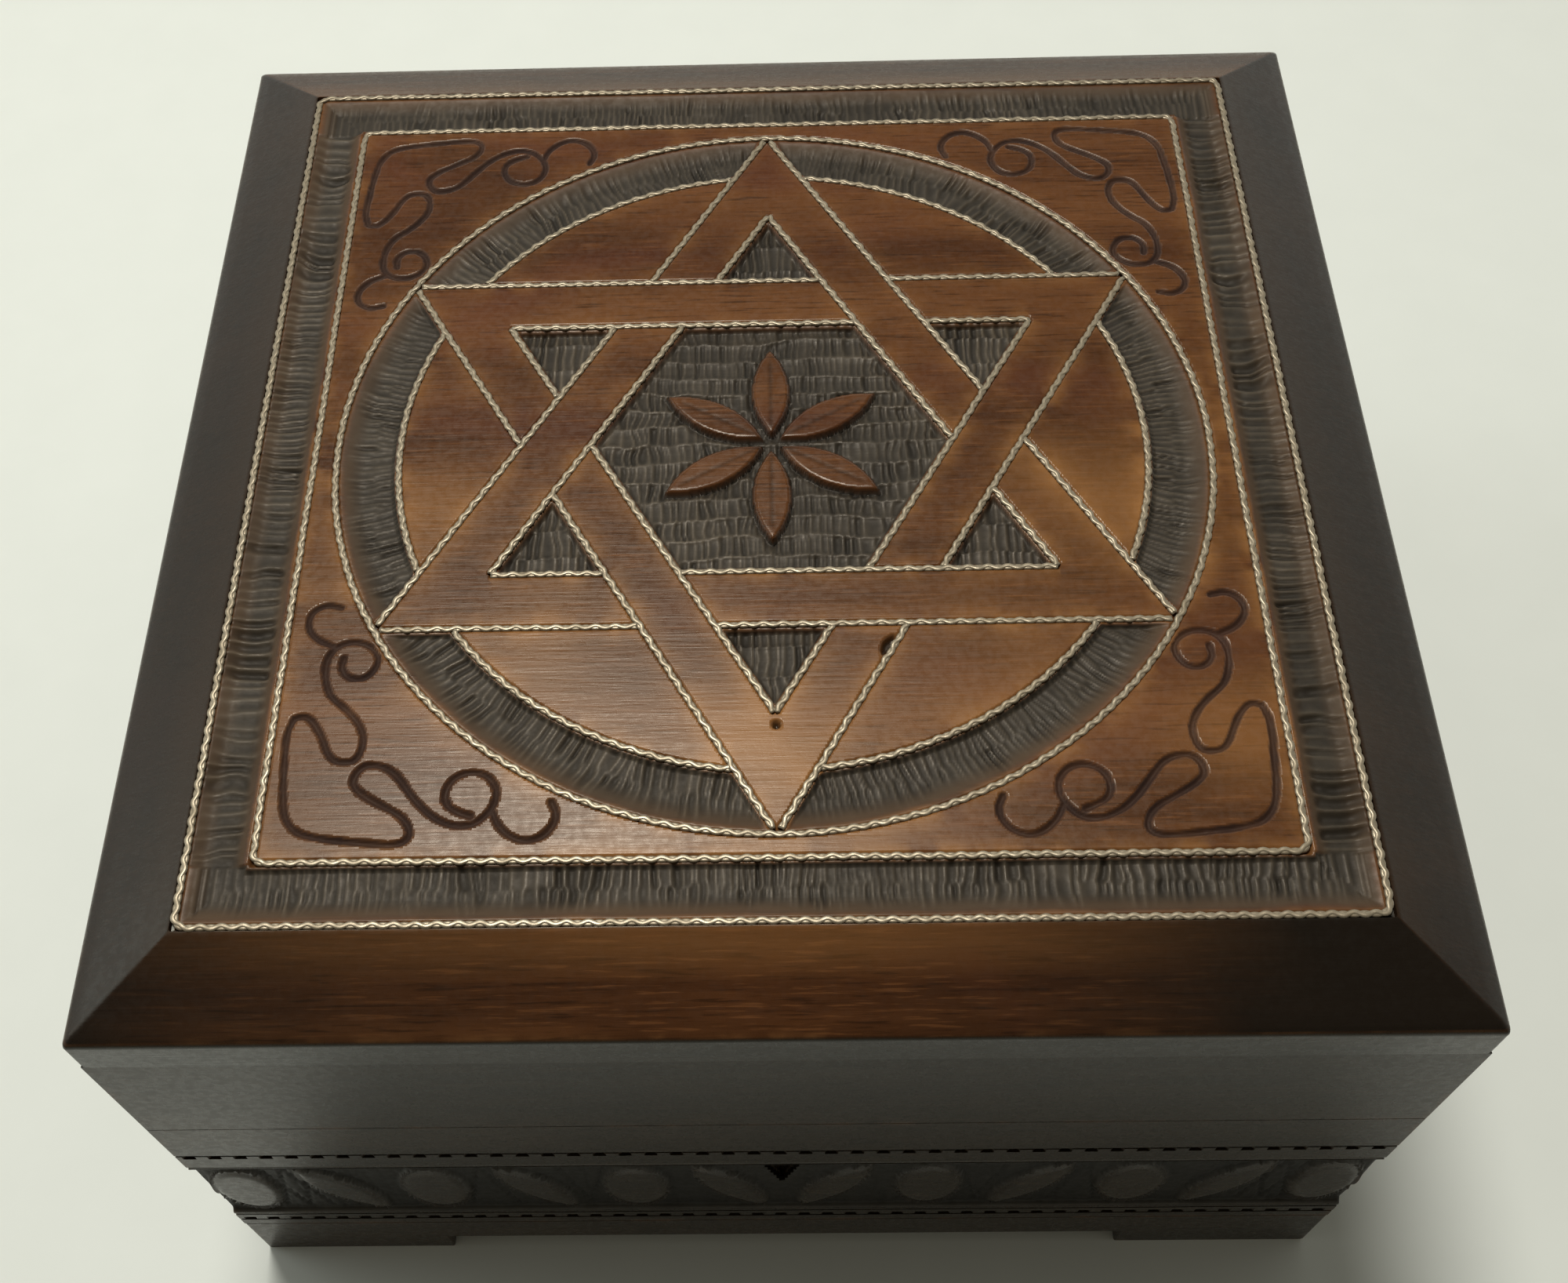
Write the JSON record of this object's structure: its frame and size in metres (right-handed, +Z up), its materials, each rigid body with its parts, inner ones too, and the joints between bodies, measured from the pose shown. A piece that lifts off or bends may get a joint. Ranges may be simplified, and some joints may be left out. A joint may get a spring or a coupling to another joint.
{
  "type": "wooden puzzle box",
  "caption": "Square carved wooden box with a hinged lid, a sliding front panel over the keyhole and a sliding base strip that hides the key.",
  "frame": {"origin": "centre of the box on the floor, under the middle of the lid", "axes": "+Z up; the front with the sliding panel faces -Y; +X to the right when looking at the front"},
  "size_m": [0.165, 0.165, 0.1003],
  "materials": {
    "stained_wood": "dark stained linden, satin",
    "lid_face_wood": "red-brown stained linden, satin",
    "pale_wood": "bare linden",
    "inlay_brass": "twisted wire, dull polished",
    "hardware_brass": "satin",
    "key_steel": "satin"
  },
  "bodies": {
    "box": {"wall_front": "stained_wood", "wall_back": "stained_wood", "wall_left": "stained_wood", "wall_right": "stained_wood", "bottom_panel": "pale_wood", "base_strip_back": "stained_wood", "base_strip_left": "stained_wood", "base_strip_right": "stained_wood", "panel_stop_peg": "pale_wood", "strip_stop_peg": "pale_wood", "hinge_leaf_body_left": "hardware_brass", "hinge_leaf_body_right": "hardware_brass", "hinge_pin_left": "key_steel", "hinge_pin_right": "key_steel", "hinge_screws_body": "hardware_brass", "lock_case": "hardware_brass", "lock_cover": "hardware_brass", "lock_guide_studs": "key_steel", "lock_key_post": "key_steel", "lock_spring": "key_steel", "lock_screws": "hardware_brass"},
    "lid": {"lid_board": "lid_face_wood", "lid_wall_front": "stained_wood", "lid_wall_back": "stained_wood", "lid_wall_left": "stained_wood", "lid_wall_right": "stained_wood", "inlay_square_outer": "inlay_brass", "inlay_square_inner": "inlay_brass", "inlay_ring_outer": "inlay_brass", "inlay_ring_inner": "inlay_brass", "inlay_star_outline": "inlay_brass", "inlay_star_inner": "inlay_brass", "strike_plate": "hardware_brass", "strike_screws": "hardware_brass", "hinge_leaf_lid_left": "hardware_brass", "hinge_leaf_lid_right": "hardware_brass", "hinge_screws_lid": "hardware_brass"},
    "panel": {"front_panel": "stained_wood"},
    "strip": {"base_strip_front": "stained_wood"},
    "loose_key": {"key": "key_steel"},
    "bolt": {"lock_bolt": "key_steel"}
  },
  "joints": [
    {"name": "lid_hinge", "type": "hinge", "parent": "box", "child": "lid", "pos_m": [0, 0.079, 0.0631], "axis": [-1, 0, 0], "range_deg": [0, 95]},
    {"name": "panel_slide", "type": "slide", "parent": "box", "child": "panel", "axis": [-1, 0, 0], "range_m": [0, 0.095]},
    {"name": "strip_slide", "type": "slide", "parent": "box", "child": "strip", "axis": [-1, 0, 0], "range_m": [0, 0.06]},
    {"name": "key_slide", "type": "slide", "parent": "strip", "child": "loose_key", "axis": [0, 1, 0], "range_m": [0, 0.015]},
    {"name": "bolt_slide", "type": "slide", "parent": "box", "child": "bolt", "axis": [1, 0, 0], "range_m": [0, 0.0045]}
  ]
}
